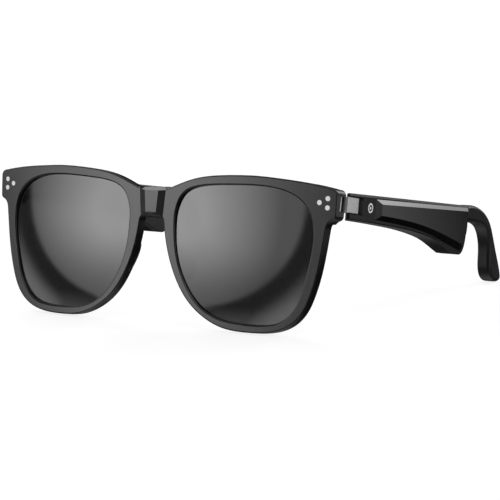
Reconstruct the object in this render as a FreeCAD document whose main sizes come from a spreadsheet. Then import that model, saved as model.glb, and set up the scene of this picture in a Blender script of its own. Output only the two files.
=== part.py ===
import FreeCAD, Part
import math
import os
from FreeCAD import Placement, Rotation, Vector

# Smart glasses. Everything is drawn as worn: temples level along +Y, the front face
# at y = 0 in the middle, z = 0 at the middle height of the lenses. Each sub-part's
# Placement then leans the whole pair back until rims and ear tips stand on z = 0.
# The +X side is the wearer's left. The -X side is its mirror image.

doc = FreeCAD.newDocument("smart_glasses")
sheet = doc.addObject("Spreadsheet::Sheet", "Sizes")

SIZES = [
    ("lean_back", 11.4),
    ("rest_y", -67.975),
    ("rest_z", 20.93),
    ("face_tilt", 4.5),
    ("face_radius", 523.0),
    ("rim_depth", 4.0),
    ("bridge_raise", 0.8),
    ("edge_round", 0.5),
    ("endpiece_back", 8.5),
    ("lens_radius", 265.0),
    ("lens_thickness", 2.0),
    ("lens_bite", 0.6),
    ("rivet_radius", 0.85),
    ("rivet_length", 1.4),
    ("pivot_x", 64.8),
    ("pivot_y", 11.0),
    ("pin_radius", 0.8),
    ("pin_clearance", 0.05),
    ("knuckle_radius", 1.9),
    ("lug_low", 25.4),
    ("lug_height", 2.0),
    ("plate_front", 5.2),
    ("plate_thickness", 1.0),
    ("block_low", 23.9),
    ("block_height", 5.2),
    ("block_back", 21.8),
    ("block_outer", 71.0),
    ("temple_inner", 63.4),
    ("temple_outer", 71.2),
    ("panel_seat", 1.2),
    ("gasket_thickness", 0.2),
    ("panel_raise", 1.0),
    ("tip_inner", 65.0),
    ("tip_thickness", 5.8),
    ("core_radius", 0.9),
    ("emblem_height", 0.12),
]
for row, (alias, value) in enumerate(SIZES, start=1):
    sheet.set("A%d" % row, alias)
    sheet.set("B%d" % row, str(value))
    sheet.setAlias("B%d" % row, alias)
doc.recompute()
S = dict(SIZES)


def place(obj):
    """Lean the worn pose back onto the table."""
    obj.Placement = Placement(Vector(0, S["rest_y"], S["rest_z"]),
                              Rotation(Vector(-1, 0, 0), S["lean_back"]))
    obj.setExpression("Placement.Base.y", "Sizes.rest_y")
    obj.setExpression("Placement.Base.z", "Sizes.rest_z")
    obj.setExpression("Placement.Rotation.Angle", "Sizes.lean_back")
    return obj


def new_body(name):
    body = doc.addObject("PartDesign::Body", name)
    body.Label = name
    return body


def new_sketch(body, name, plane, offset=0.0, expression=None):
    """A sketch on one of the body's own origin planes, moved along the plane's normal."""
    sketch = body.newObject("Sketcher::SketchObject", name)
    origin = [f for f in body.Origin.OriginFeatures if f.Role == plane][0]
    sketch.AttachmentSupport = [(origin, "")]
    sketch.MapMode = "FlatFace"
    sketch.AttachmentOffset = Placement(Vector(0, 0, offset), Rotation())
    if expression:
        sketch.setExpression("AttachmentOffset.Base.z", expression)
    return sketch


def box_wire(sketch, x0, y0, x1, y1):
    pts = [(x0, y0), (x1, y0), (x1, y1), (x0, y1), (x0, y0)]
    line_wire(sketch, pts)


def line_wire(sketch, pts):
    for a, b in zip(pts, pts[1:]):
        sketch.addGeometry(Part.LineSegment(Vector(*a, 0), Vector(*b, 0)), False)


def curve(sketch, pts):
    spline = Part.BSplineCurve()
    spline.interpolate([Vector(*p, 0) for p in pts])
    sketch.addGeometry(spline, False)


def loop(sketch, pts):
    spline = Part.BSplineCurve()
    spline.interpolate([Vector(*p, 0) for p in pts], PeriodicFlag=True)
    sketch.addGeometry(spline, False)


def arc(sketch, a, mid, b):
    sketch.addGeometry(Part.Arc(Vector(*a, 0), Vector(*mid, 0), Vector(*b, 0)), False)


def circle(sketch, x, y, r):
    sketch.addGeometry(Part.Circle(Vector(x, y, 0), Vector(0, 0, 1), r), False)


def pad(body, sketch, length, name, expression=None, reverse=False):
    feature = body.newObject("PartDesign::Pad", name)
    feature.Profile = sketch
    feature.Length = length
    feature.Reversed = reverse
    if expression:
        feature.setExpression("Length", expression)
    body.Tip = feature
    return feature


def pocket(body, sketch, length, name, expression=None, reverse=False):
    feature = body.newObject("PartDesign::Pocket", name)
    feature.Profile = sketch
    feature.Length = length
    feature.Reversed = reverse
    if expression:
        feature.setExpression("Length", expression)
    body.Tip = feature
    return feature


def loft(body, sections, name):
    feature = body.newObject("PartDesign::AdditiveLoft", name)
    feature.Profile = sections[0]
    feature.Sections = sections[1:]
    feature.Ruled = True
    body.Tip = feature
    return feature


def round_edges(body, kind, size, name, wanted):
    """Fillet or chamfer those edges of the body's last feature that wanted() picks."""
    doc.recompute()
    base = body.Tip
    names = ["Edge%d" % (i + 1) for i, e in enumerate(base.Shape.Edges) if wanted(e)]
    feature = body.newObject("PartDesign::" + kind, name)
    feature.Base = (base, names)
    if kind == "Fillet":
        feature.Radius = size
    else:
        feature.Size = size
    body.Tip = feature
    return feature


def cut(base, tools, label):
    """base less tools, as one sub-part that takes base's place."""
    tool = tools[0]
    if len(tools) > 1:
        tool = doc.addObject("Part::Compound", label + "_tools")
        tool.Links = tools
    result = doc.addObject("Part::Cut", label)
    result.Label = label
    result.Base = base
    result.Tool = tool
    return result


def group(parts, label):
    result = doc.addObject("Part::Compound", label)
    result.Label = label
    result.Links = parts
    return result


def cylinder(name, radius, length, base, axis):
    part = doc.addObject("Part::Cylinder", name)
    part.Radius = radius
    part.Height = length
    part.Placement = Placement(base, Rotation(Vector(0, 0, 1), axis))
    return part


def block(name, low, high):
    """A plain box between two corners, as a body with one pad."""
    body = new_body(name)
    sketch = new_sketch(body, name + "_plan", "XY_Plane", low[2])
    box_wire(sketch, low[0], low[1], high[0], high[1])
    pad(body, sketch, high[2] - low[2], name + "_pad")
    return body


def mirror_shape(part, label):
    result = doc.addObject("Part::Mirroring", label)
    result.Label = label
    result.Source = part
    result.Normal = Vector(1, 0, 0)
    return result


# ---------------------------------------------------------------- the front

def face_y(x, z):
    """Where the bent and tilted face lies, in front of or behind y = 0."""
    tilt = math.radians(S["face_tilt"])
    bend = x * x / (2 * S["face_radius"])
    return bend / math.cos(tilt) - z * math.tan(tilt)


def tilted_sketch(body, name, height):
    """A sketch square to the tilted front, height mm up its own plane."""
    tilt = math.radians(S["face_tilt"])
    sketch = new_sketch(body, name, "XY_Plane")
    base = Vector(0, -height * math.sin(tilt), height * math.cos(tilt))
    sketch.AttachmentOffset = Placement(base, Rotation(Vector(1, 0, 0), S["face_tilt"]))
    return sketch


OUTER_TOP = [(6.2, 27.5), (10, 29.1), (16, 31.3), (24, 32.9), (33, 33.6), (41, 33.8),
             (50, 33.4), (60, 32.6), (69.8, 31.1)]
OUTER_SIDE = [(68.2, 17.5), (67.2, 10), (65.6, 1), (63.6, -6), (60.8, -12), (56, -16.7),
              (49, -19.3), (40, -20), (31, -19.3), (23, -16.2), (16, -10.8), (10.5, -2.8),
              (7, 6), (5.1, 15.4)]
OPENING = [(9.7, 16), (10.4, 21.6), (13, 26.3), (18.5, 28.8), (28, 29.9), (40, 30.4),
           (50, 29.7), (57, 27.3), (61.6, 22.9), (63.5, 16), (63, 8), (61, -1.5),
           (58, -10), (53, -15.2), (46, -17), (37, -17.1), (28, -15.8), (20.5, -11.7),
           (14.5, -4), (11, 5)]


def opening_points(grow, side):
    """The lens opening grown outwards from its middle by about grow mm."""
    wide = 1 + grow / 27.0
    tall = 1 + grow / 23.8
    return [(side * (36.5 + (x - 36.5) * wide), 6.6 + (z - 6.6) * tall)
            for x, z in OPENING]


def face_arc(x):
    """Depth of the bent face at x, in the tilted plane."""
    R = S["face_radius"]
    return R - math.sqrt(R * R - x * x)


def back_arc(x):
    """Depth of the rim's back at x, in the tilted plane."""
    R = S["face_radius"]
    return R - math.sqrt((R - S["rim_depth"]) ** 2 - x * x)


def front_slab(body):
    """The bent sheet of acetate before it is cut to outline."""
    sketch = tilted_sketch(body, "front_bend", -32)
    arc(sketch, (-80, face_arc(80)), (0, 0), (80, face_arc(80)))
    line_wire(sketch, [(80, face_arc(80)), (80, back_arc(80))])
    arc(sketch, (80, back_arc(80)), (0, S["rim_depth"]), (-80, back_arc(80)))
    line_wire(sketch, [(-80, back_arc(80)), (-80, face_arc(80))])
    return pad(body, sketch, 75, "front_sheet")


def endpiece_blocks(body):
    """Thicker acetate behind the upper outer corners, squared to the temples."""
    sketch = tilted_sketch(body, "endpiece_plan", 18.5)
    for side in (1, -1):
        pts = [(58.0, back_arc(58) - 1), (58.0, back_arc(58)), (63, 12.5), (80, 12.5),
               (80, back_arc(80) - 1), (58.0, back_arc(58) - 1)]
        line_wire(sketch, [(side * x, y) for x, y in pts])
    pad(body, sketch, 22, "endpiece_sheet")
    back = new_sketch(body, "endpiece_back_line", "XY_Plane", 60)
    for side in (1, -1):
        xs = sorted((side * 59.5, side * 90))
        box_wire(back, xs[0], S["endpiece_back"], xs[1], 40)
    return pocket(body, back, 45, "square_endpieces")


ARCH = [(5.1, 15.4), (4.3, 17.4), (2.4, 18.7), (0, 19.0)]
BRIDGE_TOP = [(6.2, 27.5), (0, 28.1)]


def flip(points, side):
    return [(side * x, z) for x, z in points]


def front_outline(body):
    """Trim the sheet to the square outline with its arched bridge."""
    sketch = new_sketch(body, "front_outline", "XZ_Plane", 40)
    box_wire(sketch, -100, -60, 100, 80)
    for side in (1, -1):
        curve(sketch, flip(OUTER_TOP, side))
        arc(sketch, (side * 69.8, 31.1), (side * 71.3, 30.4), (side * 71.8, 28.8))
        line_wire(sketch, [(side * 71.8, 28.8), (side * 71.6, 21.9)])
        arc(sketch, (side * 71.6, 21.9), (side * 71.2, 21.0), (side * 70.4, 20.5))
        curve(sketch, [(side * 70.4, 20.5), (side * 69.0, 19.4), (side * 68.2, 17.5)])
        curve(sketch, flip(OUTER_SIDE, side))
        curve(sketch, flip(ARCH, side))
        line_wire(sketch, flip(BRIDGE_TOP, side))
    return pocket(body, sketch, 100, "trim_outline")


def front_openings(body):
    sketch = new_sketch(body, "lens_openings", "XZ_Plane", 40)
    for side in (1, -1):
        loop(sketch, opening_points(0, side))
    return pocket(body, sketch, 100, "cut_openings")


def lies_on_face(edge, depth=0.0):
    """True for an edge that runs along the bent face, depth mm behind it."""
    first, last = edge.FirstParameter, edge.LastParameter
    for share in (0.1, 0.3, 0.5, 0.7, 0.9):
        p = edge.valueAt(first + (last - first) * share)
        if abs(p.y - face_y(p.x, p.z) - depth) > 0.1:
            return False
    return True


def bridge_ridge(body):
    """The raised keystone facet over the nose, wider at the top."""
    raise_by = S["bridge_raise"]
    sections = []
    for height, flat, foot in ((14, 1.7, 4.4), (31, 3.3, 5.9)):
        sketch = tilted_sketch(body, "ridge_at_%d" % height, height)
        pts = [(-foot, 1), (-foot, 0.03), (-flat, -raise_by), (flat, -raise_by),
               (foot, 0.03), (foot, 1), (-foot, 1)]
        line_wire(sketch, pts)
        sections.append(sketch)
    loft(body, sections, "bridge_ridge")
    trim = new_sketch(body, "ridge_trim", "XZ_Plane", 40)
    for side in (1, -1):
        line_wire(trim, flip(BRIDGE_TOP, side))
        line_wire(trim, flip([(6.2, 27.5), (6.2, 40), (0, 40)], side))
        curve(trim, flip(ARCH, side))
        line_wire(trim, flip([(5.1, 15.4), (5.1, 8), (0, 8)], side))
    return pocket(body, trim, 100, "trim_ridge")


def bridge_scoop():
    """The wedge taken off the top of the bridge, which then slopes up to its back edge."""
    scoop = doc.addObject("Part::Wedge", "bridge_scoop")
    scoop.Ymin = -5.0
    scoop.Xmin = -6.9
    scoop.Xmax = 6.9
    scoop.Zmin = 25.7
    scoop.Zmax = 32.0
    scoop.Ymax = 2.2
    scoop.X2min = -3.6
    scoop.X2max = 3.6
    scoop.Z2min = 28.6
    scoop.Z2max = 32.0
    return scoop


def lens_cap(body, thickness, sink):
    """A spherical shell as thick as the lens, square to the face at the opening's middle."""
    sketch = new_sketch(body, body.Label + "_section", "XY_Plane")
    x0, z0 = 36.5, 6.6
    turn_out = math.degrees(math.asin(x0 / S["face_radius"]))
    square = Rotation(Vector(0, 0, 1), turn_out) * Rotation(Vector(1, 0, 0), S["face_tilt"])
    R = S["lens_radius"]
    middle = Vector(x0, face_y(x0, z0) + sink, z0)
    sketch.AttachmentOffset = Placement(middle + square * Vector(0, R, 0), square)
    inner = R - thickness
    reach = 42.0
    outer_y = -math.sqrt(R * R - reach * reach)
    inner_y = -math.sqrt(inner * inner - reach * reach)
    arc(sketch, (-reach, outer_y), (0, -R), (reach, outer_y))
    line_wire(sketch, [(reach, outer_y), (reach, inner_y)])
    arc(sketch, (reach, inner_y), (0, -inner), (-reach, inner_y))
    line_wire(sketch, [(-reach, inner_y), (-reach, outer_y)])
    turn = body.newObject("PartDesign::Revolution", body.Label + "_cap")
    turn.Profile = sketch
    turn.ReferenceAxis = (sketch, ["H_Axis"])
    turn.Angle = 18
    turn.Midplane = True
    body.Tip = turn
    return turn


def lens_body(name, thickness, bite, sink):
    body = new_body(name)
    lens_cap(body, thickness, sink)
    sketch = new_sketch(body, name + "_edge", "XZ_Plane", 60)
    box_wire(sketch, -60, -80, 130, 90)
    loop(sketch, opening_points(bite, 1))
    pocket(body, sketch, 120, name + "_trim")
    return body


def rivet_row(name, side):
    """Three round rivets set flush in the endpiece, square to its face."""
    dots = []
    for i, (x, z) in enumerate(((68.4, 27.6), (65.4, 26.1), (68.4, 24.5))):
        slope = x / S["face_radius"]
        into = Vector(-side * slope, 1, math.tan(math.radians(S["face_tilt"])))
        into.normalize()
        start = Vector(side * x, face_y(x, z), z) - into * 0.1
        dot = cylinder("%s_%d" % (name, i), S["rivet_radius"], S["rivet_length"], start, into)
        dot.setExpression("Radius", "Sizes.rivet_radius")
        dot.setExpression("Height", "Sizes.rivet_length")
        dots.append(dot)
    return group(dots, name)


# ---------------------------------------------------------------- the hinge

def hinge_socket():
    """The metal plate in the endpiece and the lug that carries the hinge pin."""
    body = new_body("hinge_socket_base")
    px, py = S["pivot_x"], S["pivot_y"]
    r = S["knuckle_radius"]
    front = S["plate_front"]
    plate = new_sketch(body, "socket_plate", "XY_Plane", 23.7)
    box_wire(plate, 62.6, front, 71.55, front + S["plate_thickness"])
    pad(body, plate, 4.9, "plate_pad")
    lug = new_sketch(body, "socket_lug", "XY_Plane", 25.4, expression="Sizes.lug_low")
    line_wire(lug, [(px + r, py), (px + r, front + 0.5), (px - r, front + 0.5),
                    (px - r, py)])
    arc(lug, (px - r, py), (px, py + r), (px + r, py))
    pad(body, lug, 2.0, "lug_pad", "Sizes.lug_height")
    bore = new_sketch(body, "lug_bore", "XY_Plane", 40)
    circle(bore, px, py, S["pin_radius"] + S["pin_clearance"])
    pocket(body, bore, 40, "lug_hole")
    return body


def hinge_block():
    """The silver knuckle that carries the temple."""
    body = new_body("hinge_block_base")
    px, py = S["pivot_x"], S["pivot_y"]
    outer, back = S["block_outer"], S["block_back"]
    r = 2.0
    step = 11.6
    bend = 6.0
    bend_from = 17.6
    turn = math.asin((back - bend_from) / bend)
    plan = new_sketch(body, "block_plan", "XY_Plane", 23.9, expression="Sizes.block_low")
    arc(plan, (px - r, py), (px - r * 0.7071, py - r * 0.7071), (px, py - r))
    line_wire(plan, [(px, py - r), (67.4, py - r), (67.4, step), (outer - 0.3, step)])
    arc(plan, (outer - 0.3, step), (outer - 0.088, step + 0.088), (outer, step + 0.3))
    line_wire(plan, [(outer, step + 0.3), (outer, bend_from)])
    centre = outer - bend
    half_way = (centre + bend * math.cos(turn / 2), bend_from + bend * math.sin(turn / 2))
    last = (centre + bend * math.cos(turn), back)
    arc(plan, (outer, bend_from), half_way, last)
    line_wire(plan, [last, (px - r, back), (px - r, py)])
    pad(body, plan, 5.2, "block_pad", "Sizes.block_height")
    notch = new_sketch(body, "block_notch", "XY_Plane", 25.1)
    line_wire(notch, [(px - 8, py - 8), (px + 2.3, py - 8), (px + 2.3, py)])
    arc(notch, (px + 2.3, py), (px + 1.626, py + 1.626), (px, py + 2.3))
    line_wire(notch, [(px, py + 2.3), (px - 8, py + 2.3), (px - 8, py - 8)])
    pocket(body, notch, 2.6, "notch_cut", reverse=True)
    tongue = new_sketch(body, "block_tongue", "XY_Plane", 24.6)
    box_wire(tongue, 65.2, back - 1, 69.0, 27.4)
    pad(body, tongue, 3.8, "tongue_pad")
    bore = new_sketch(body, "block_bore", "XY_Plane", 40)
    circle(bore, px, py, S["pin_radius"])
    pocket(body, bore, 40, "block_hole")
    return body


# ---------------------------------------------------------------- the temple

HOUSING_LOW = [(103.4, 20.5), (102.6, 17.6), (101, 15.3), (98.5, 14.5)]
HOUSING_BELLY = [(94.5, 14.5), (88, 16.4), (80, 18.5), (70, 19.9), (58, 20.8), (44, 21.2),
                 (28, 21.4), (13.2, 21.4)]
PANEL_TOP = ((31.2, 29.8), (103.0, 32.4))
PANEL_LOW = [(103.0, 27.4), (102.2, 21), (99.5, 15.9)]
PANEL_BELLY = [(99.5, 15.9), (88, 17.8), (74, 20.3), (60, 21.7), (44, 22.4), (31.2, 22.7)]
CREST_TOP = ((34.2, 28.3), (101.8, 31.0))
CREST_LOW = [(101.8, 27.0), (101.2, 21.8), (98.3, 18.5)]
CREST_BELLY = [(98.3, 18.5), (84, 21.0), (69.5, 22.9), (54, 24.0), (45, 24.3), (34.2, 24.4)]
CAVITY_BELLY = [(98.5, 17.6), (88, 19.5), (74, 22.2), (60, 23.5), (44, 24.2), (32, 24.4)]


def closed_side(sketch, top, low, belly):
    """A side outline: straight top and front, curved rear edge and belly."""
    line_wire(sketch, [belly[-1], top[0], top[1], low[0]])
    curve(sketch, low)
    curve(sketch, belly)


def edge_middle(edge):
    return edge.valueAt((edge.FirstParameter + edge.LastParameter) / 2)


def lies_at_x(edge, x):
    ends = [edge.valueAt(edge.FirstParameter), edge_middle(edge),
            edge.valueAt(edge.LastParameter)]
    return all(abs(p.x - x) < 0.01 for p in ends)


def temple_housing():
    """The inner tray of the temple, open outwards under the panel."""
    body = new_body("temple_housing_base")
    inner, outer = S["temple_inner"], S["temple_outer"]
    side = new_sketch(body, "housing_side", "YZ_Plane", inner,
                      expression="Sizes.temple_inner")
    line_wire(side, [(13.2, 21.4), (12.6, 30.5), (104.2, 33.3), (104.4, 27.5)])
    curve(side, [(104.4, 27.5)] + HOUSING_LOW)
    line_wire(side, [(98.5, 14.5), (94.5, 14.5)])
    curve(side, HOUSING_BELLY)
    pad(body, side, outer - inner, "housing_pad",
        "Sizes.temple_outer - Sizes.temple_inner")
    mitre = new_sketch(body, "front_mitre", "XY_Plane", 60)
    line_wire(mitre, [(70.5, 5), (70.5, 12.7), (63.0, 24.6), (60, 24.6), (60, 5), (70.5, 5)])
    pocket(body, mitre, 100, "mitre_cut")
    round_edges(body, "Chamfer", 0.8, "housing_top_chamfer",
                lambda e: lies_at_x(e, outer) and edge_middle(e).z > 31)
    round_edges(body, "Fillet", 0.35, "housing_outer_round",
                lambda e: lies_at_x(e, outer) and edge_middle(e).z < 31)
    round_edges(body, "Fillet", 0.6, "housing_inner_round",
                lambda e: lies_at_x(e, inner))
    return body


def housing_cuts(body):
    outer = S["temple_outer"]
    notch = new_sketch(body, "hinge_notch", "YZ_Plane", 100)
    box_wire(notch, 5, 23.5, 22.1, 29.5)
    pocket(body, notch, 60, "notch_through")
    hole = new_sketch(body, "tongue_hole", "YZ_Plane", 69.2)
    box_wire(hole, 15, 24.4, 27.6, 28.6)
    pocket(body, hole, 4.2, "tongue_slot")
    seat = new_sketch(body, "panel_seat_outline", "YZ_Plane", outer)
    closed_side(seat, PANEL_TOP, PANEL_LOW, PANEL_BELLY)
    pocket(body, seat, 1.2, "panel_seat_cut", "Sizes.panel_seat")
    room = new_sketch(body, "cavity_outline", "YZ_Plane", outer)
    line_wire(room, [(32.0, 24.4), (32.0, 28.9), (101.6, 31.2), (101.6, 26.8)])
    curve(room, [(101.6, 26.8), (101, 21.5), (98.5, 17.6)])
    curve(room, CAVITY_BELLY)
    pocket(body, room, 6.6, "cavity_cut")
    mouth = new_sketch(body, "speaker_slots", "YZ_Plane", 65)
    for z in (19.9, 21.3, 22.7):
        box_wire(mouth, 86, z, 97, z + 0.7)
    pocket(body, mouth, 10, "speaker_mouth")
    rebate = new_sketch(body, "grille_rebate", "YZ_Plane", 63.8)
    box_wire(rebate, 85.2, 19.4, 97.8, 23.9)
    pocket(body, rebate, 5, "grille_seat")
    sound_hole = new_sketch(body, "microphone_hole", "XY_Plane", 10)
    circle(sound_hole, 65.6, 39.2, 0.4)
    pocket(body, sound_hole, 14.5, "microphone_port", reverse=True)
    return body


def panel_cover():
    """The glossy outer panel with mitred bevels all round."""
    body = new_body("temple_panel_base")
    outer = S["temple_outer"]
    seat = outer - S["panel_seat"] + S["gasket_thickness"]
    base = new_sketch(body, "panel_base_outline", "YZ_Plane", seat)
    closed_side(base, PANEL_TOP, PANEL_LOW, PANEL_BELLY)
    pad(body, base, outer - seat, "panel_base_pad")
    low = new_sketch(body, "panel_bevel_foot", "YZ_Plane", outer)
    closed_side(low, PANEL_TOP, PANEL_LOW, PANEL_BELLY)
    high = new_sketch(body, "panel_bevel_crest", "YZ_Plane", outer + S["panel_raise"])
    closed_side(high, CREST_TOP, CREST_LOW, CREST_BELLY)
    loft(body, [low, high], "panel_bevels")
    return body


TIP_BACK = [(104.9, 33.3), (109, 33.8), (115.5, 33.2), (121, 31.4), (125.5, 28.2), (129.2, 23.3),
            (133.3, 17.0), (137.0, 11.4), (138.4, 8.5)]
TIP_END = [(138.4, 8.5), (137.7, 6.7), (135.0, 6.0), (131.5, 6.3), (128.4, 8.7)]
TIP_FRONT = [(128.4, 8.7), (127.1, 12.3), (126.6, 17), (125.0, 21.8), (121.8, 25.4),
             (116.5, 27.2), (104.9, 27.4)]
CORE_PATH = [(95, 29.9), (104.9, 30.2), (112, 30.4), (118.8, 29.0), (123.8, 25.8),
             (127.4, 20.9), (130.4, 15.2), (132.0, 11.3)]


def ear_tip():
    body = new_body("ear_tip_base")
    side = new_sketch(body, "tip_side", "YZ_Plane", 65.0, expression="Sizes.tip_inner")
    curve(side, TIP_BACK)
    curve(side, TIP_END)
    curve(side, TIP_FRONT)
    line_wire(side, [(104.9, 27.4), (104.9, 33.3)])
    pad(body, side, 5.8, "tip_pad", "Sizes.tip_thickness")
    outer = S["tip_inner"] + S["tip_thickness"]
    round_edges(body, "Fillet", 1.5, "tip_outer_round",
                lambda e: lies_at_x(e, outer) and edge_middle(e).y > 105.2)
    round_edges(body, "Fillet", 1.5, "tip_inner_round",
                lambda e: lies_at_x(e, S["tip_inner"]) and edge_middle(e).y > 105.2)
    return body


def tip_core():
    """The steel wire that runs from the housing into the rubber tip."""
    body = new_body("tip_core_base")
    spine = new_sketch(body, "core_path", "YZ_Plane", 67.9)
    curve(spine, CORE_PATH)
    ring = new_sketch(body, "core_ring", "XZ_Plane", -95)
    circle(ring, 67.9, 29.9, S["core_radius"])
    pipe = body.newObject("PartDesign::AdditivePipe", "core_pipe")
    pipe.Profile = ring
    pipe.Spine = spine
    body.Tip = pipe
    return body


def box_at(name, x, y, z):
    return block(name, (x[0], y[0], z[0]), (x[1], y[1], z[1]))


# ---------------------------------------------------------------- assemble

finished = []


def keep(part, label, pair=True):
    """Place one sub-part under its node name, with its mirror image if it has one."""
    name = label + "_left" if pair else label
    node = place(group([part], name))
    finished.append(node)
    if pair:
        finished.append(mirror_shape(node, label + "_right"))
    return node


front = new_body("front_blank")
front_slab(front)
endpiece_blocks(front)
front_outline(front)
front_openings(front)
round_edges(front, "Fillet", S["edge_round"], "face_edge_round", lies_on_face)
round_edges(front, "Fillet", S["edge_round"], "back_edge_round",
            lambda edge: lies_on_face(edge, S["rim_depth"] + 0.02) and edge.Length > 20)
bridge_ridge(front)

lens = lens_body("lens_base", S["lens_thickness"], S["lens_bite"], 0.15)
groove = lens_body("lens_groove", S["lens_thickness"] + 0.06, S["lens_bite"] + 0.06, 0.12)
groove_right = mirror_shape(groove, "lens_groove_right")
rivets = rivet_row("rivets_base", 1)
rivets_right = mirror_shape(rivets, "rivets_base_right")
socket = hinge_socket()
slot = box_at("socket_slot", (62.5, 75), (5.2, 7.4), (23.6, 28.7))
lug_room = box_at("lug_room", (62.6, 67.0), (5.4, 12), (25.3, 27.5))
screw_parts = []
for z in (24.9, 27.4):
    screw_parts.append(cylinder("socket_screw_%d" % int(z), 0.55, 4.6, Vector(69, 8.5, z),
                                Vector(0, -1, 0)))
socket_screws = group(screw_parts, "socket_screws_base")


def nose_pad(neighbours):
    """A moulded pad on the nose side of the rim, cut to sit on its back."""
    pad_form = doc.addObject("Part::Ellipsoid", "nose_pad_form")
    pad_form.Radius1 = 6.5
    pad_form.Radius2 = 1.35
    pad_form.Radius3 = 4.6
    lean = Rotation(Vector(0, 0, 1), -40) * Rotation(Vector(0, 1, 0), -20)
    pad_form.Placement = Placement(Vector(11.3, 5.7, 2.0), lean)
    return cut(pad_form, neighbours, "nose_pad_base")


def stud(name, points):
    """A headed screw along +X made of coaxial cylinders (x0, x1, radius)."""
    y, z, steps = points
    sections = []
    for i, (x0, x1, radius) in enumerate(steps):
        sections.append(cylinder("%s_step%d" % (name, i), radius, x1 - x0,
                                 Vector(x0, y, z), Vector(1, 0, 0)))
    screw = doc.addObject("Part::MultiFuse", name)
    screw.Shapes = sections
    return screw


def emblem():
    """A plain printed ring with a dot, in place of any mark."""
    y, z, x = 27.3, 26.5, S["temple_outer"]
    disc = cylinder("emblem_disc", 1.7, S["emblem_height"], Vector(x, y, z), Vector(1, 0, 0))
    hole = cylinder("emblem_hole", 1.15, 1.0, Vector(x - 0.4, y, z), Vector(1, 0, 0))
    dot = cylinder("emblem_dot", 0.5, S["emblem_height"], Vector(x, y, z), Vector(1, 0, 0))
    ring = cut(disc, [hole], "emblem_ring")
    return group([ring, dot], "temple_emblem_base")


def gasket():
    body = new_body("panel_gasket_base")
    floor = S["temple_outer"] - S["panel_seat"]
    sketch = new_sketch(body, "gasket_outline", "YZ_Plane", floor)
    closed_side(sketch, PANEL_TOP, PANEL_LOW, PANEL_BELLY)
    line_wire(sketch, [(32.0, 24.4), (32.0, 28.9), (101.6, 31.2), (101.6, 26.8)])
    curve(sketch, [(101.6, 26.8), (101, 21.5), (98.5, 17.6)])
    curve(sketch, CAVITY_BELLY)
    pad(body, sketch, 0.2, "gasket_pad", "Sizes.gasket_thickness")
    return body


def grille():
    body = new_body("speaker_grille_base")
    sketch = new_sketch(body, "grille_plate", "YZ_Plane", 63.4)
    box_wire(sketch, 85.2, 19.4, 97.8, 23.9)
    for i in range(10):
        for j in range(3):
            circle(sketch, 86.1 + 1.2 * i, 20.3 + 1.4 * j, 0.35)
    pad(body, sketch, 0.4, "grille_pad")
    return body


frame_right_tools = [groove_right, rivets_right]
for tool, label in ((slot, "socket_slot_right"), (lug_room, "lug_room_right"),
                    (socket_screws, "socket_screws_mirror")):
    frame_right_tools.append(mirror_shape(tool, label))
frame_left_tools = [bridge_scoop(), groove, rivets, slot, lug_room, socket_screws]
frame = cut(front, frame_left_tools + frame_right_tools, "front_frame_bored")
keep(frame, "front_frame", pair=False)
keep(lens, "lens")
keep(nose_pad([frame, lens]), "nose_pad")
keep(rivets, "rivet_dots")
keep(cut(socket, [socket_screws], "hinge_socket_bored"), "hinge_socket")
keep(socket_screws, "socket_screws")

# the temple
housing = housing_cuts(temple_housing())
panel = panel_cover()
bosses = [cylinder("boss_front", 1.2, 5.7, Vector(64.6, 34.5, 26.5), Vector(1, 0, 0)),
          cylinder("boss_rear", 1.2, 5.7, Vector(64.6, 81.5, 23.8), Vector(1, 0, 0))]
panel_with_bosses = doc.addObject("Part::MultiFuse", "panel_with_bosses")
panel_with_bosses.Shapes = [panel] + bosses
panel_screws = group([stud("panel_screw_front", (34.5, 26.5, ((63.4, 64.0, 1.0), (64.0, 68.5, 0.5)))),
                      stud("panel_screw_rear", (81.5, 23.8, ((63.4, 64.0, 1.0), (64.0, 68.5, 0.5))))],
                     "panel_screws_base")
hinge_screw = stud("hinge_screw_base", (25.2, 26.5, ((63.4, 64.0, 1.0), (64.0, 68.0, 0.6))))
pin = cylinder("hinge_pin_base", S["pin_radius"], S["block_height"],
               Vector(S["pivot_x"], S["pivot_y"], S["block_low"]), Vector(0, 0, 1))
contacts = group([cylinder("contact_%d" % y, 0.9, 1.15, Vector(63.45, y, 26), Vector(1, 0, 0))
                  for y in (44, 48)], "charge_contacts_base")
core = tip_core()

keep(cut(housing, [panel_screws, hinge_screw, contacts, core], "housing_bored"),
     "temple_housing")
keep(cut(panel_with_bosses, [panel_screws], "panel_bored"), "temple_panel")
keep(gasket(), "panel_gasket")
keep(emblem(), "temple_emblem")
keep(cut(hinge_block(), [hinge_screw], "block_bored"), "hinge_block")
keep(pin, "hinge_pin")
keep(hinge_screw, "hinge_screw")
keep(panel_screws, "panel_screws")
keep(contacts, "charge_contacts")
keep(core, "tip_core")
keep(cut(ear_tip(), [core], "tip_bored"), "ear_tip")
keep(box_at("board", (66.0, 67.0), (37, 57), (24.9, 28.8)), "main_board")
keep(box_at("chip", (67.0, 68.2), (42, 50), (25.4, 28.4)), "processor_chip")
keep(box_at("cell", (65.0, 69.6), (59, 79), (24.2, 29.4)), "battery")
keep(box_at("driver", (65.0, 69.6), (84.8, 98), (20.8, 28.6)), "speaker_driver")
keep(grille(), "speaker_grille")
keep(box_at("capsule", (64.9, 65.9), (38, 40.4), (24.6, 25.8)), "microphone")
keep(box_at("touch", (69.9, 70.2), (38, 76), (25.3, 28.6)), "touch_strip")
keep(box_at("aerial", (69.3, 69.5), (38, 56), (25.4, 28.4)), "antenna")
keep(box_at("ribbon", (64.65, 64.85), (41, 84.5), (26.8, 28.4)), "flex_cable")


doc.recompute()

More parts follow.
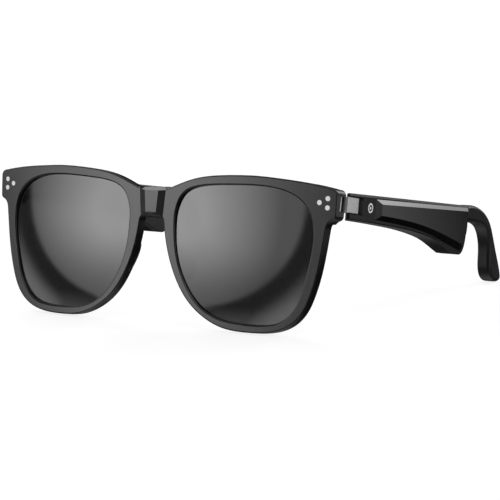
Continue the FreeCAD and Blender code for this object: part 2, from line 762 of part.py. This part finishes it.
os.makedirs("parts", exist_ok=True)
bad = [o.Name for o in doc.Objects if "Invalid" in o.State or "Error" in o.State]
assert not bad, bad
for part in finished:
    shape = part.Shape
    assert not shape.isNull() and shape.isValid(), part.Label
    print(part.Label, len(shape.Solids), round(shape.Volume, 1), shape.BoundBox)
    shape.exportStep("parts/" + part.Label + ".step")
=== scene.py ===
import math

import bpy
from mathutils import Matrix, Vector


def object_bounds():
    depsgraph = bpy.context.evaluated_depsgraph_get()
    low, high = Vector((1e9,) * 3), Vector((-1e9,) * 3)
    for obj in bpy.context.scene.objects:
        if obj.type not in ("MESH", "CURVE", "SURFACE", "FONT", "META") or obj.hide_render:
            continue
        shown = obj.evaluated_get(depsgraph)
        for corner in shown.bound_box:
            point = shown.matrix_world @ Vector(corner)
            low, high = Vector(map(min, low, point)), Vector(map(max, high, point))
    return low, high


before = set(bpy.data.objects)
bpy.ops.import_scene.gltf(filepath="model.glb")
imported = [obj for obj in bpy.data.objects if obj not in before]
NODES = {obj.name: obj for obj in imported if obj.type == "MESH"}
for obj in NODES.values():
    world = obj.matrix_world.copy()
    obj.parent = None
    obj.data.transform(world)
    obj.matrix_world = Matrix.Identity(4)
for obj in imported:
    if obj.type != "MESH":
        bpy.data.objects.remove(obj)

# Smart glasses on a pale floor under soft studio light. Every piece is a CAD node with its
# own procedural finish. Sizes are in metres and angles in degrees.

cad_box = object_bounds()

# ---------------------------------------------------------------- small node helpers


class Nodes:
    """Adds nodes to a material or world tree, and joins them in one call each."""

    def __init__(self, tree):
        self.tree = tree
        tree.nodes.clear()

    def add(self, kind, settings=None, **links):
        """One node. Settings are its own properties, links its inputs as numbers or sockets."""
        node = self.tree.nodes.new(kind)
        for key, value in (settings or {}).items():
            setattr(node, key, value)
        for key, value in links.items():
            self.put(node, key.replace("_", " "), value)
        return node

    def put(self, node, key, value):
        """Sets an input by its name, or its number after the letter i, to a value or a socket."""
        index = int(key[1:]) if key[0] == "i" and key[1:].isdigit() else key
        socket = node.inputs[index]
        if isinstance(value, bpy.types.NodeSocket):
            self.tree.links.new(value, socket)
        else:
            socket.default_value = value

    def math(self, operation, first, second=0.0):
        """One sum of numbers or sockets."""
        return self.add("ShaderNodeMath", {"operation": operation}, i0=first, i1=second).outputs[0]

    def noise(self, vector, scale, detail=3.0, rough=0.55):
        """Noise between about 0.2 and 0.8."""
        node = self.add("ShaderNodeTexNoise", None, Vector=vector, Scale=scale, Detail=detail,
                        Roughness=rough)
        return node.outputs["Fac"]

    def spread(self, value, low, high, to_low=0.0, to_high=1.0, smooth=False):
        """Maps low…high onto to_low…to_high, held at both ends."""
        settings = {"interpolation_type": "SMOOTHSTEP" if smooth else "LINEAR"}
        node = self.add("ShaderNodeMapRange", settings)
        for key, number in zip(("Value", "From Min", "From Max", "To Min", "To Max"),
                               (value, low, high, to_low, to_high)):
            self.put(node, key, number)
        return node.outputs["Result"]

    def mix(self, factor, first, second):
        """First colour at factor 0, second at 1."""
        node = self.add("ShaderNodeMix", {"data_type": "RGBA"}, i0=factor)
        self.put(node, "i6", first)
        self.put(node, "i7", second)
        return node.outputs[2]

    def stretch(self, vector, scale):
        """Coordinates scaled by an amount on each axis."""
        node = self.add("ShaderNodeMapping", None, Vector=vector)
        node.inputs["Scale"].default_value = scale
        return node.outputs["Vector"]


def grey(level, warmth=0.0):
    """A neutral colour, a touch warmer or cooler."""
    return (level * (1 + warmth), level, level * (1 - warmth), 1.0)


def finish_of(name, dark, light, rough, grain=900.0, grain_depth=0.00001, cloud=60.0,
              edge_tint=None, stretch=None, fixed=None, shape=None):
    """A surface: colour drifts between dark and light, roughness between two values, with a fine
    grain in the bump, and lighter, rougher convex edges where an edge tint is given."""
    material = bpy.data.materials.new(name)
    material.use_nodes = True
    n = Nodes(material.node_tree)
    place = n.add("ShaderNodeTexCoord").outputs["Object"]
    along = n.stretch(place, stretch) if stretch else place
    drift = n.spread(n.noise(place, cloud), 0.3, 0.7)
    fine = n.noise(along, grain, 2.0, 0.6)
    colour = n.mix(drift, dark, light)
    smudge = n.math("ADD", n.math("MULTIPLY", drift, 0.5), n.math("MULTIPLY", fine, 0.5))
    roughness = n.spread(smudge, 0.2, 0.8, rough[0], rough[1])
    # Convex edges, found by pointiness and broken up by the fine grain, are mixed towards a
    # lighter colour and made rougher.
    if edge_tint:
        point = n.add("ShaderNodeNewGeometry").outputs["Pointiness"]
        edge = n.math("MULTIPLY", n.spread(point, 0.52, 0.62), n.spread(fine, 0.35, 0.65))
        colour = n.mix(n.math("MULTIPLY", edge, edge_tint[1]), colour, edge_tint[0])
        roughness = n.math("ADD", roughness, n.math("MULTIPLY", edge, 0.12))
    height = shape(n, place, fine) if shape else fine
    bump = n.add("ShaderNodeBump", None, Strength=1.0, Distance=grain_depth, Height=height)
    shader = n.add("ShaderNodeBsdfPrincipled", None, Base_Color=colour, Roughness=roughness,
                   Normal=bump.outputs["Normal"])
    for key, value in (fixed or {}).items():
        shader.inputs[key].default_value = value
    out = n.add("ShaderNodeOutputMaterial")
    n.tree.links.new(shader.outputs[0], out.inputs["Surface"])
    return material


# ---------------------------------------------------------------- materials, one for each slot


def acetate():
    """Polished black cellulose acetate."""
    return finish_of("front_acetate", grey(0.004), grey(0.007), (0.30, 0.36), grain=260.0,
                     grain_depth=0.0000010, cloud=45.0, edge_tint=(grey(0.05), 0.3),
                     fixed={"IOR": 1.50, "Coat Weight": 1.0, "Coat Roughness": 0.18})


def dark_lens():
    """Dark polarised lens with a weak silver flash coating."""
    return finish_of("dark_lens", grey(0.014), grey(0.017), (0.03, 0.06), grain=200.0,
                     grain_depth=0.0000001, cloud=25.0,
                     fixed={"IOR": 1.93, "Transmission Weight": 0.8})


def satin_metal():
    """Brushed zinc alloy with a nickel finish."""
    return finish_of("satin_metal", grey(0.70), grey(0.80, 0.01), (0.26, 0.40), grain=1800.0,
                     grain_depth=0.000003, cloud=120.0, stretch=(1.0, 0.08, 1.0),
                     edge_tint=(grey(0.85), 0.5), fixed={"Metallic": 0.55, "Anisotropic": 0.5})


def steel_screw():
    """Turned stainless steel."""
    return finish_of("steel_screw", grey(0.86), grey(0.96), (0.20, 0.34), grain=2600.0,
                     grain_depth=0.000002, cloud=300.0, edge_tint=(grey(0.95), 0.4),
                     fixed={"Metallic": 0.8})


def rivet_silver():
    """Bright polished rivet heads."""
    return finish_of("rivet_silver", grey(0.95), grey(1.0), (0.26, 0.36), grain=2600.0,
                     grain_depth=0.000002, cloud=900.0,
                     fixed={"Metallic": 0.15, "Coat Weight": 1.0, "Coat Roughness": 0.15})


def temple_shell():
    """Moulded black nylon with a fine spark-eroded grain."""
    return finish_of("temple_shell", grey(0.003), grey(0.005), (0.16, 0.26), grain=3800.0,
                     grain_depth=0.0000015, cloud=70.0, edge_tint=(grey(0.05), 0.3),
                     fixed={"IOR": 1.52})


def gloss_panel():
    """High gloss black touch cover."""
    return finish_of("gloss_panel", grey(0.003), grey(0.005), (0.05, 0.10), grain=300.0,
                     grain_depth=0.0000002, cloud=40.0, edge_tint=(grey(0.04), 0.2),
                     fixed={"IOR": 1.55, "Coat Weight": 1.0, "Coat Roughness": 0.03})


def soft_seal():
    """Dark silicone seal."""
    return finish_of("soft_seal", grey(0.014), grey(0.024), (0.5, 0.65), grain=2200.0,
                     grain_depth=0.000008)


def emblem_print():
    """White pad-printed ink."""
    return finish_of("emblem_print", grey(0.72), grey(0.82), (0.38, 0.52), grain=5200.0,
                     grain_depth=0.000004, cloud=500.0)


def tip_rubber():
    """Soft-touch black rubber over the ear tip."""
    return finish_of("tip_rubber", grey(0.008), grey(0.012), (0.28, 0.38), grain=4200.0,
                     grain_depth=0.000003, cloud=55.0, edge_tint=(grey(0.05), 0.3),
                     fixed={"IOR": 1.5})


def gold_contact():
    """Gold-plated contact."""
    return finish_of("gold_contact", (0.80, 0.52, 0.20, 1), (0.92, 0.64, 0.30, 1), (0.18, 0.32),
                     grain=3000.0, grain_depth=0.000003, cloud=400.0, fixed={"Metallic": 1.0})


def circuit_board():
    """Green solder mask with the pattern of tracks under it."""

    def tracks(n, place, fine):
        lanes = n.add("ShaderNodeTexWave", {"bands_direction": "Z"}, Vector=place, Scale=420.0,
                      Distortion=6.0, Detail=1.0)
        return n.math("ADD", n.math("MULTIPLY", lanes.outputs["Fac"], 0.7),
                      n.math("MULTIPLY", fine, 0.3))

    return finish_of("circuit_board", (0.006, 0.07, 0.035, 1), (0.015, 0.12, 0.06, 1),
                     (0.30, 0.42), grain=2400.0, grain_depth=0.00003, cloud=350.0, shape=tracks)


def chip_case():
    """Black epoxy chip package."""
    return finish_of("chip_case", grey(0.016), grey(0.028), (0.42, 0.56), grain=3600.0,
                     grain_depth=0.000008, cloud=200.0)


def cell_foil():
    """Crimped aluminium pouch of the cell."""
    return finish_of("cell_foil", grey(0.55), grey(0.74), (0.24, 0.40), grain=900.0,
                     grain_depth=0.00003, cloud=160.0, stretch=(1.0, 0.25, 1.0),
                     fixed={"Metallic": 1.0})


def driver_case():
    """Stamped steel can of the speaker."""
    return finish_of("driver_case", grey(0.34), grey(0.46), (0.28, 0.42), grain=1600.0,
                     grain_depth=0.000008, cloud=200.0, fixed={"Metallic": 1.0})


def grille_metal():
    """Fine woven steel cloth over the speaker outlet."""

    def weave(n, place, fine):
        warp = n.add("ShaderNodeTexWave", {"bands_direction": "Y"}, Vector=place, Scale=750.0)
        weft = n.add("ShaderNodeTexWave", {"bands_direction": "Z"}, Vector=place, Scale=750.0)
        cross = n.math("MULTIPLY", warp.outputs["Fac"], weft.outputs["Fac"])
        return n.math("ADD", cross, n.math("MULTIPLY", fine, 0.2))

    return finish_of("grille_metal", grey(0.045), grey(0.085), (0.34, 0.5), grain=3000.0,
                     grain_depth=0.00012, cloud=300.0, fixed={"Metallic": 0.8}, shape=weave)


def flex_film():
    """Amber polyimide film."""
    return finish_of("flex_film", (0.36, 0.14, 0.02, 1), (0.50, 0.21, 0.04, 1), (0.22, 0.36),
                     grain=1500.0, grain_depth=0.000006, cloud=200.0)


MAKERS = (acetate, dark_lens, satin_metal, steel_screw, temple_shell, gloss_panel, soft_seal,
          emblem_print, tip_rubber, gold_contact, circuit_board, chip_case, cell_foil,
          driver_case, grille_metal, flex_film)


def dress_nodes():
    """Gives every CAD node the finish that its material slot names, and the rivets their own."""
    plain = {s.material for o in NODES.values() for s in o.material_slots}
    for material in plain:
        material.name = "plain_" + material.name
    finishes = {}
    for make in MAKERS:
        made = make()
        finishes[made.name] = made
    for node in NODES.values():
        for s in node.material_slots:
            s.material = finishes[s.material.name.removeprefix("plain_")]
    rivets = rivet_silver()
    for side in ("left", "right"):
        NODES["rivet_dots_" + side].material_slots[0].material = rivets


# ---------------------------------------------------------------- floor, light and camera

FLOOR_HALF = 4.0
FLOOR_DROP = 0.00002
FLOOR_GLOW = 0.84
SWEEP_STRENGTH = 1.05

# The key softbox is an oval. Its lamp sits a little off its middle, and shows as a bright core.
KEY_AZIMUTH, KEY_ELEVATION = -34.4, 10.3
KEY_HALF_WIDTH, KEY_HALF_HEIGHT = 21.3, 16.1
LAMP_AZIMUTH, LAMP_ELEVATION = -36.0, 8.0
LAMP_CORE, LAMP_REACH = 4.0, 19.0
LAMP_STRENGTH, DIFFUSER_STRENGTH = 2.7, 0.66

# A ring of spilt light goes round the softbox. Distances are from its middle, with 1 its edge.
EDGE_BLUR = (0.97, 1.03)
RING_RISE = (1.12, 1.33)
RING_FALL = (1.29, 1.45)
RING_STRENGTH, GAP_STRENGTH = 1.05, 0.02

# Light falls off towards the table inside the softbox, and comes back off the table below it.
# Heights are sines of the elevation.
DIM_FROM, DIM_TO, DIM_SHARE = 0.10, -0.09, 0.52
BOUNCE_FROM, BOUNCE_FULL, BOUNCE_STRENGTH = -0.08, -0.17, 0.7
BOUNCE_SPAN = (1.2, 1.8)

# Fill lights, with left and right as somebody who faces the glasses sees them: azimuth,
# elevation, angle of the full core, angle of the outer edge, strength
BACK_TOP = (158.0, 30.0, 8.0, 20.0, 3.2)
BACK_LOW = (205.0, -20.0, 8.0, 24.0, 0.12)
BACK_STRIP = (168.0, 14.0, 6.0, 19.0, 0.8)
HINGE_STRIP = (146.0, -9.0, 3.0, 9.0, 0.45)
SIDE_RIGHT = (92.0, 6.0, 12.0, 32.0, 0.8)
SIDE_RIGHT_TOP = (60.0, 50.0, 12.0, 26.0, 1.4)
SIDE_LEFT = (-98.0, 8.0, 12.0, 32.0, 0.8)
SIDE_LEFT_TOP = (-120.0, 35.0, 12.0, 28.0, 1.8)
OVERHEAD = (180.0, 80.0, 10.0, 40.0, 0.8)
FLOOR_BOUNCE = (0.0, -90.0, 22.0, 50.0, 0.5)
FILL_LIGHTS = (BACK_TOP, BACK_LOW, BACK_STRIP, HINGE_STRIP, SIDE_RIGHT, SIDE_RIGHT_TOP,
               SIDE_LEFT, SIDE_LEFT_TOP, OVERHEAD, FLOOR_BOUNCE)


def direction(azimuth, elevation):
    """The way to a light. Azimuth 0 is straight in front of the glasses, and 90 is on the
    right of somebody who faces them."""
    a, e = math.radians(azimuth), math.radians(elevation)
    return (math.sin(a) * math.cos(e), -math.cos(a) * math.cos(e), math.sin(e))


def studio_floor():
    """A plain pale floor that fades into the white sweep behind it."""
    mesh = bpy.data.meshes.new("studio_floor")
    h = FLOOR_HALF
    mesh.from_pydata([(-h, -h, 0), (h, -h, 0), (h, h, 0), (-h, h, 0)], [], [(0, 1, 2, 3)])
    floor = bpy.data.objects.new("studio_floor", mesh)
    bpy.context.scene.collection.objects.link(floor)
    floor.location.z = -FLOOR_DROP
    floor.visible_glossy = False
    material = bpy.data.materials.new("floor_paint")
    material.use_nodes = True
    n = Nodes(material.node_tree)
    place = n.add("ShaderNodeTexCoord").outputs["Object"]
    tone = n.mix(n.noise(place, 3.0), grey(0.30), grey(0.32))
    shader = n.add("ShaderNodeBsdfPrincipled", None, Base_Color=tone, Roughness=0.8,
                   Emission_Color=grey(1.0), Emission_Strength=FLOOR_GLOW)
    out = n.add("ShaderNodeOutputMaterial")
    n.tree.links.new(shader.outputs[0], out.inputs["Surface"])
    mesh.materials.append(material)


def along(n, place, way):
    """How far a direction agrees with another, as the cosine between them."""
    return n.add("ShaderNodeVectorMath", {"operation": "DOT_PRODUCT"}, i0=place,
                 i1=way).outputs["Value"]


def oval(n, place):
    """0 at the middle of the key softbox, 1 all along its oval edge, large behind it."""
    middle = direction(KEY_AZIMUTH, KEY_ELEVATION)
    sideways = direction(KEY_AZIMUTH + 90.0, 0.0)
    upwards = direction(KEY_AZIMUTH, KEY_ELEVATION + 90.0)
    wide = math.sin(math.radians(KEY_HALF_WIDTH))
    tall = math.sin(math.radians(KEY_HALF_HEIGHT))
    across = n.math("POWER", n.math("DIVIDE", along(n, place, sideways), wide), 2.0)
    over = n.math("POWER", n.math("DIVIDE", along(n, place, upwards), tall), 2.0)
    flat = n.math("SQRT", n.math("ADD", across, over))
    behind = n.spread(along(n, place, middle), 0.1, 0.0, 0.0, 10.0)
    return n.math("ADD", flat, behind)


def glow(n, place, azimuth, elevation, inner, outer, strength):
    """A soft round light: full strength inside one angle, none outside the other."""
    away = n.math("ARCCOSINE", along(n, place, direction(azimuth, elevation)))
    return n.spread(away, math.radians(outer), math.radians(inner), 0.0, strength, smooth=True)


def key_softbox(n, place, up):
    """The oval key with its bright core, the ring round it, and the low glow under it."""
    lamp = along(n, place, direction(LAMP_AZIMUTH, LAMP_ELEVATION))
    off_lamp = n.math("MULTIPLY", n.math("ARCCOSINE", lamp), 180 / math.pi)
    core = n.spread(off_lamp, LAMP_CORE, LAMP_REACH, LAMP_STRENGTH, DIFFUSER_STRENGTH)
    dim = n.spread(up, DIM_TO, DIM_FROM, DIM_SHARE, 1.0, smooth=True)
    inside = n.math("MULTIPLY", core, dim)
    away = oval(n, place)
    rise = n.spread(away, *RING_RISE, GAP_STRENGTH, RING_STRENGTH, smooth=True)
    fall = n.spread(away, *RING_FALL, 0.0, RING_STRENGTH, smooth=True)
    ring = n.math("SUBTRACT", rise, fall)
    bounce = n.spread(up, BOUNCE_FROM, BOUNCE_FULL, 0.0, BOUNCE_STRENGTH, smooth=True)
    near = n.spread(away, *BOUNCE_SPAN, 1.0, 0.0, smooth=True)
    outside = n.math("MAXIMUM", ring, n.math("MULTIPLY", bounce, near))
    within = n.spread(away, *EDGE_BLUR, 1.0, 0.0, smooth=True)
    beyond = n.math("SUBTRACT", 1.0, within)
    return n.math("ADD", n.math("MULTIPLY", inside, within), n.math("MULTIPLY", outside, beyond))


def studio_world():
    """Soft boxes round the glasses, as a sky of directions, with a white sweep behind."""
    world = bpy.data.worlds.new("studio_world")
    bpy.context.scene.world = world
    world.use_nodes = True
    n = Nodes(world.node_tree)
    place = n.add("ShaderNodeTexCoord").outputs["Generated"]
    up = n.add("ShaderNodeSeparateXYZ", None, Vector=place).outputs["Z"]
    total = key_softbox(n, place, up)
    for box in FILL_LIGHTS:
        total = n.math("ADD", total, glow(n, place, *box))
    lamp = n.add("ShaderNodeBackground", None, Color=grey(1.0), Strength=total)
    sweep = n.add("ShaderNodeBackground", None, Color=grey(1.0), Strength=SWEEP_STRENGTH)
    seen = n.add("ShaderNodeLightPath").outputs["Is Camera Ray"]
    pick = n.add("ShaderNodeMixShader", None, i0=seen, i1=lamp.outputs[0], i2=sweep.outputs[0])
    out = n.add("ShaderNodeOutputWorld")
    n.tree.links.new(pick.outputs[0], out.inputs["Surface"])


# The camera's place and its aim, from the middle of the glasses.
CAMERA_OUT = Vector((0.41315, -0.65330, 0.10945))
CAMERA_AIM = Vector((0.04136, -0.06695, 0.00212))
CAMERA_ROLL = math.radians(-1.012)
CAMERA_LENS = 148.41


def studio_camera():
    """A long lens in front of the glasses, off to the right and a little above them."""
    data = bpy.data.cameras.new("camera")
    camera = bpy.data.objects.new("camera", data)
    bpy.context.scene.collection.objects.link(camera)
    middle = (Vector(cad_box[0]) + Vector(cad_box[1])) / 2
    look = CAMERA_AIM - CAMERA_OUT
    turn = look.to_track_quat("-Z", "Y").to_matrix().to_4x4()
    camera.matrix_world = turn @ Matrix.Rotation(CAMERA_ROLL, 4, "Z")
    camera.location = middle + CAMERA_OUT
    data.sensor_width = 36.0
    data.lens = CAMERA_LENS
    data.clip_start = 0.01
    data.clip_end = 30.0
    bpy.context.scene.camera = camera


# ---------------------------------------------------------------- the scene

dress_nodes()
studio_floor()
studio_world()
studio_camera()
bpy.context.scene.view_settings.view_transform = "Standard"
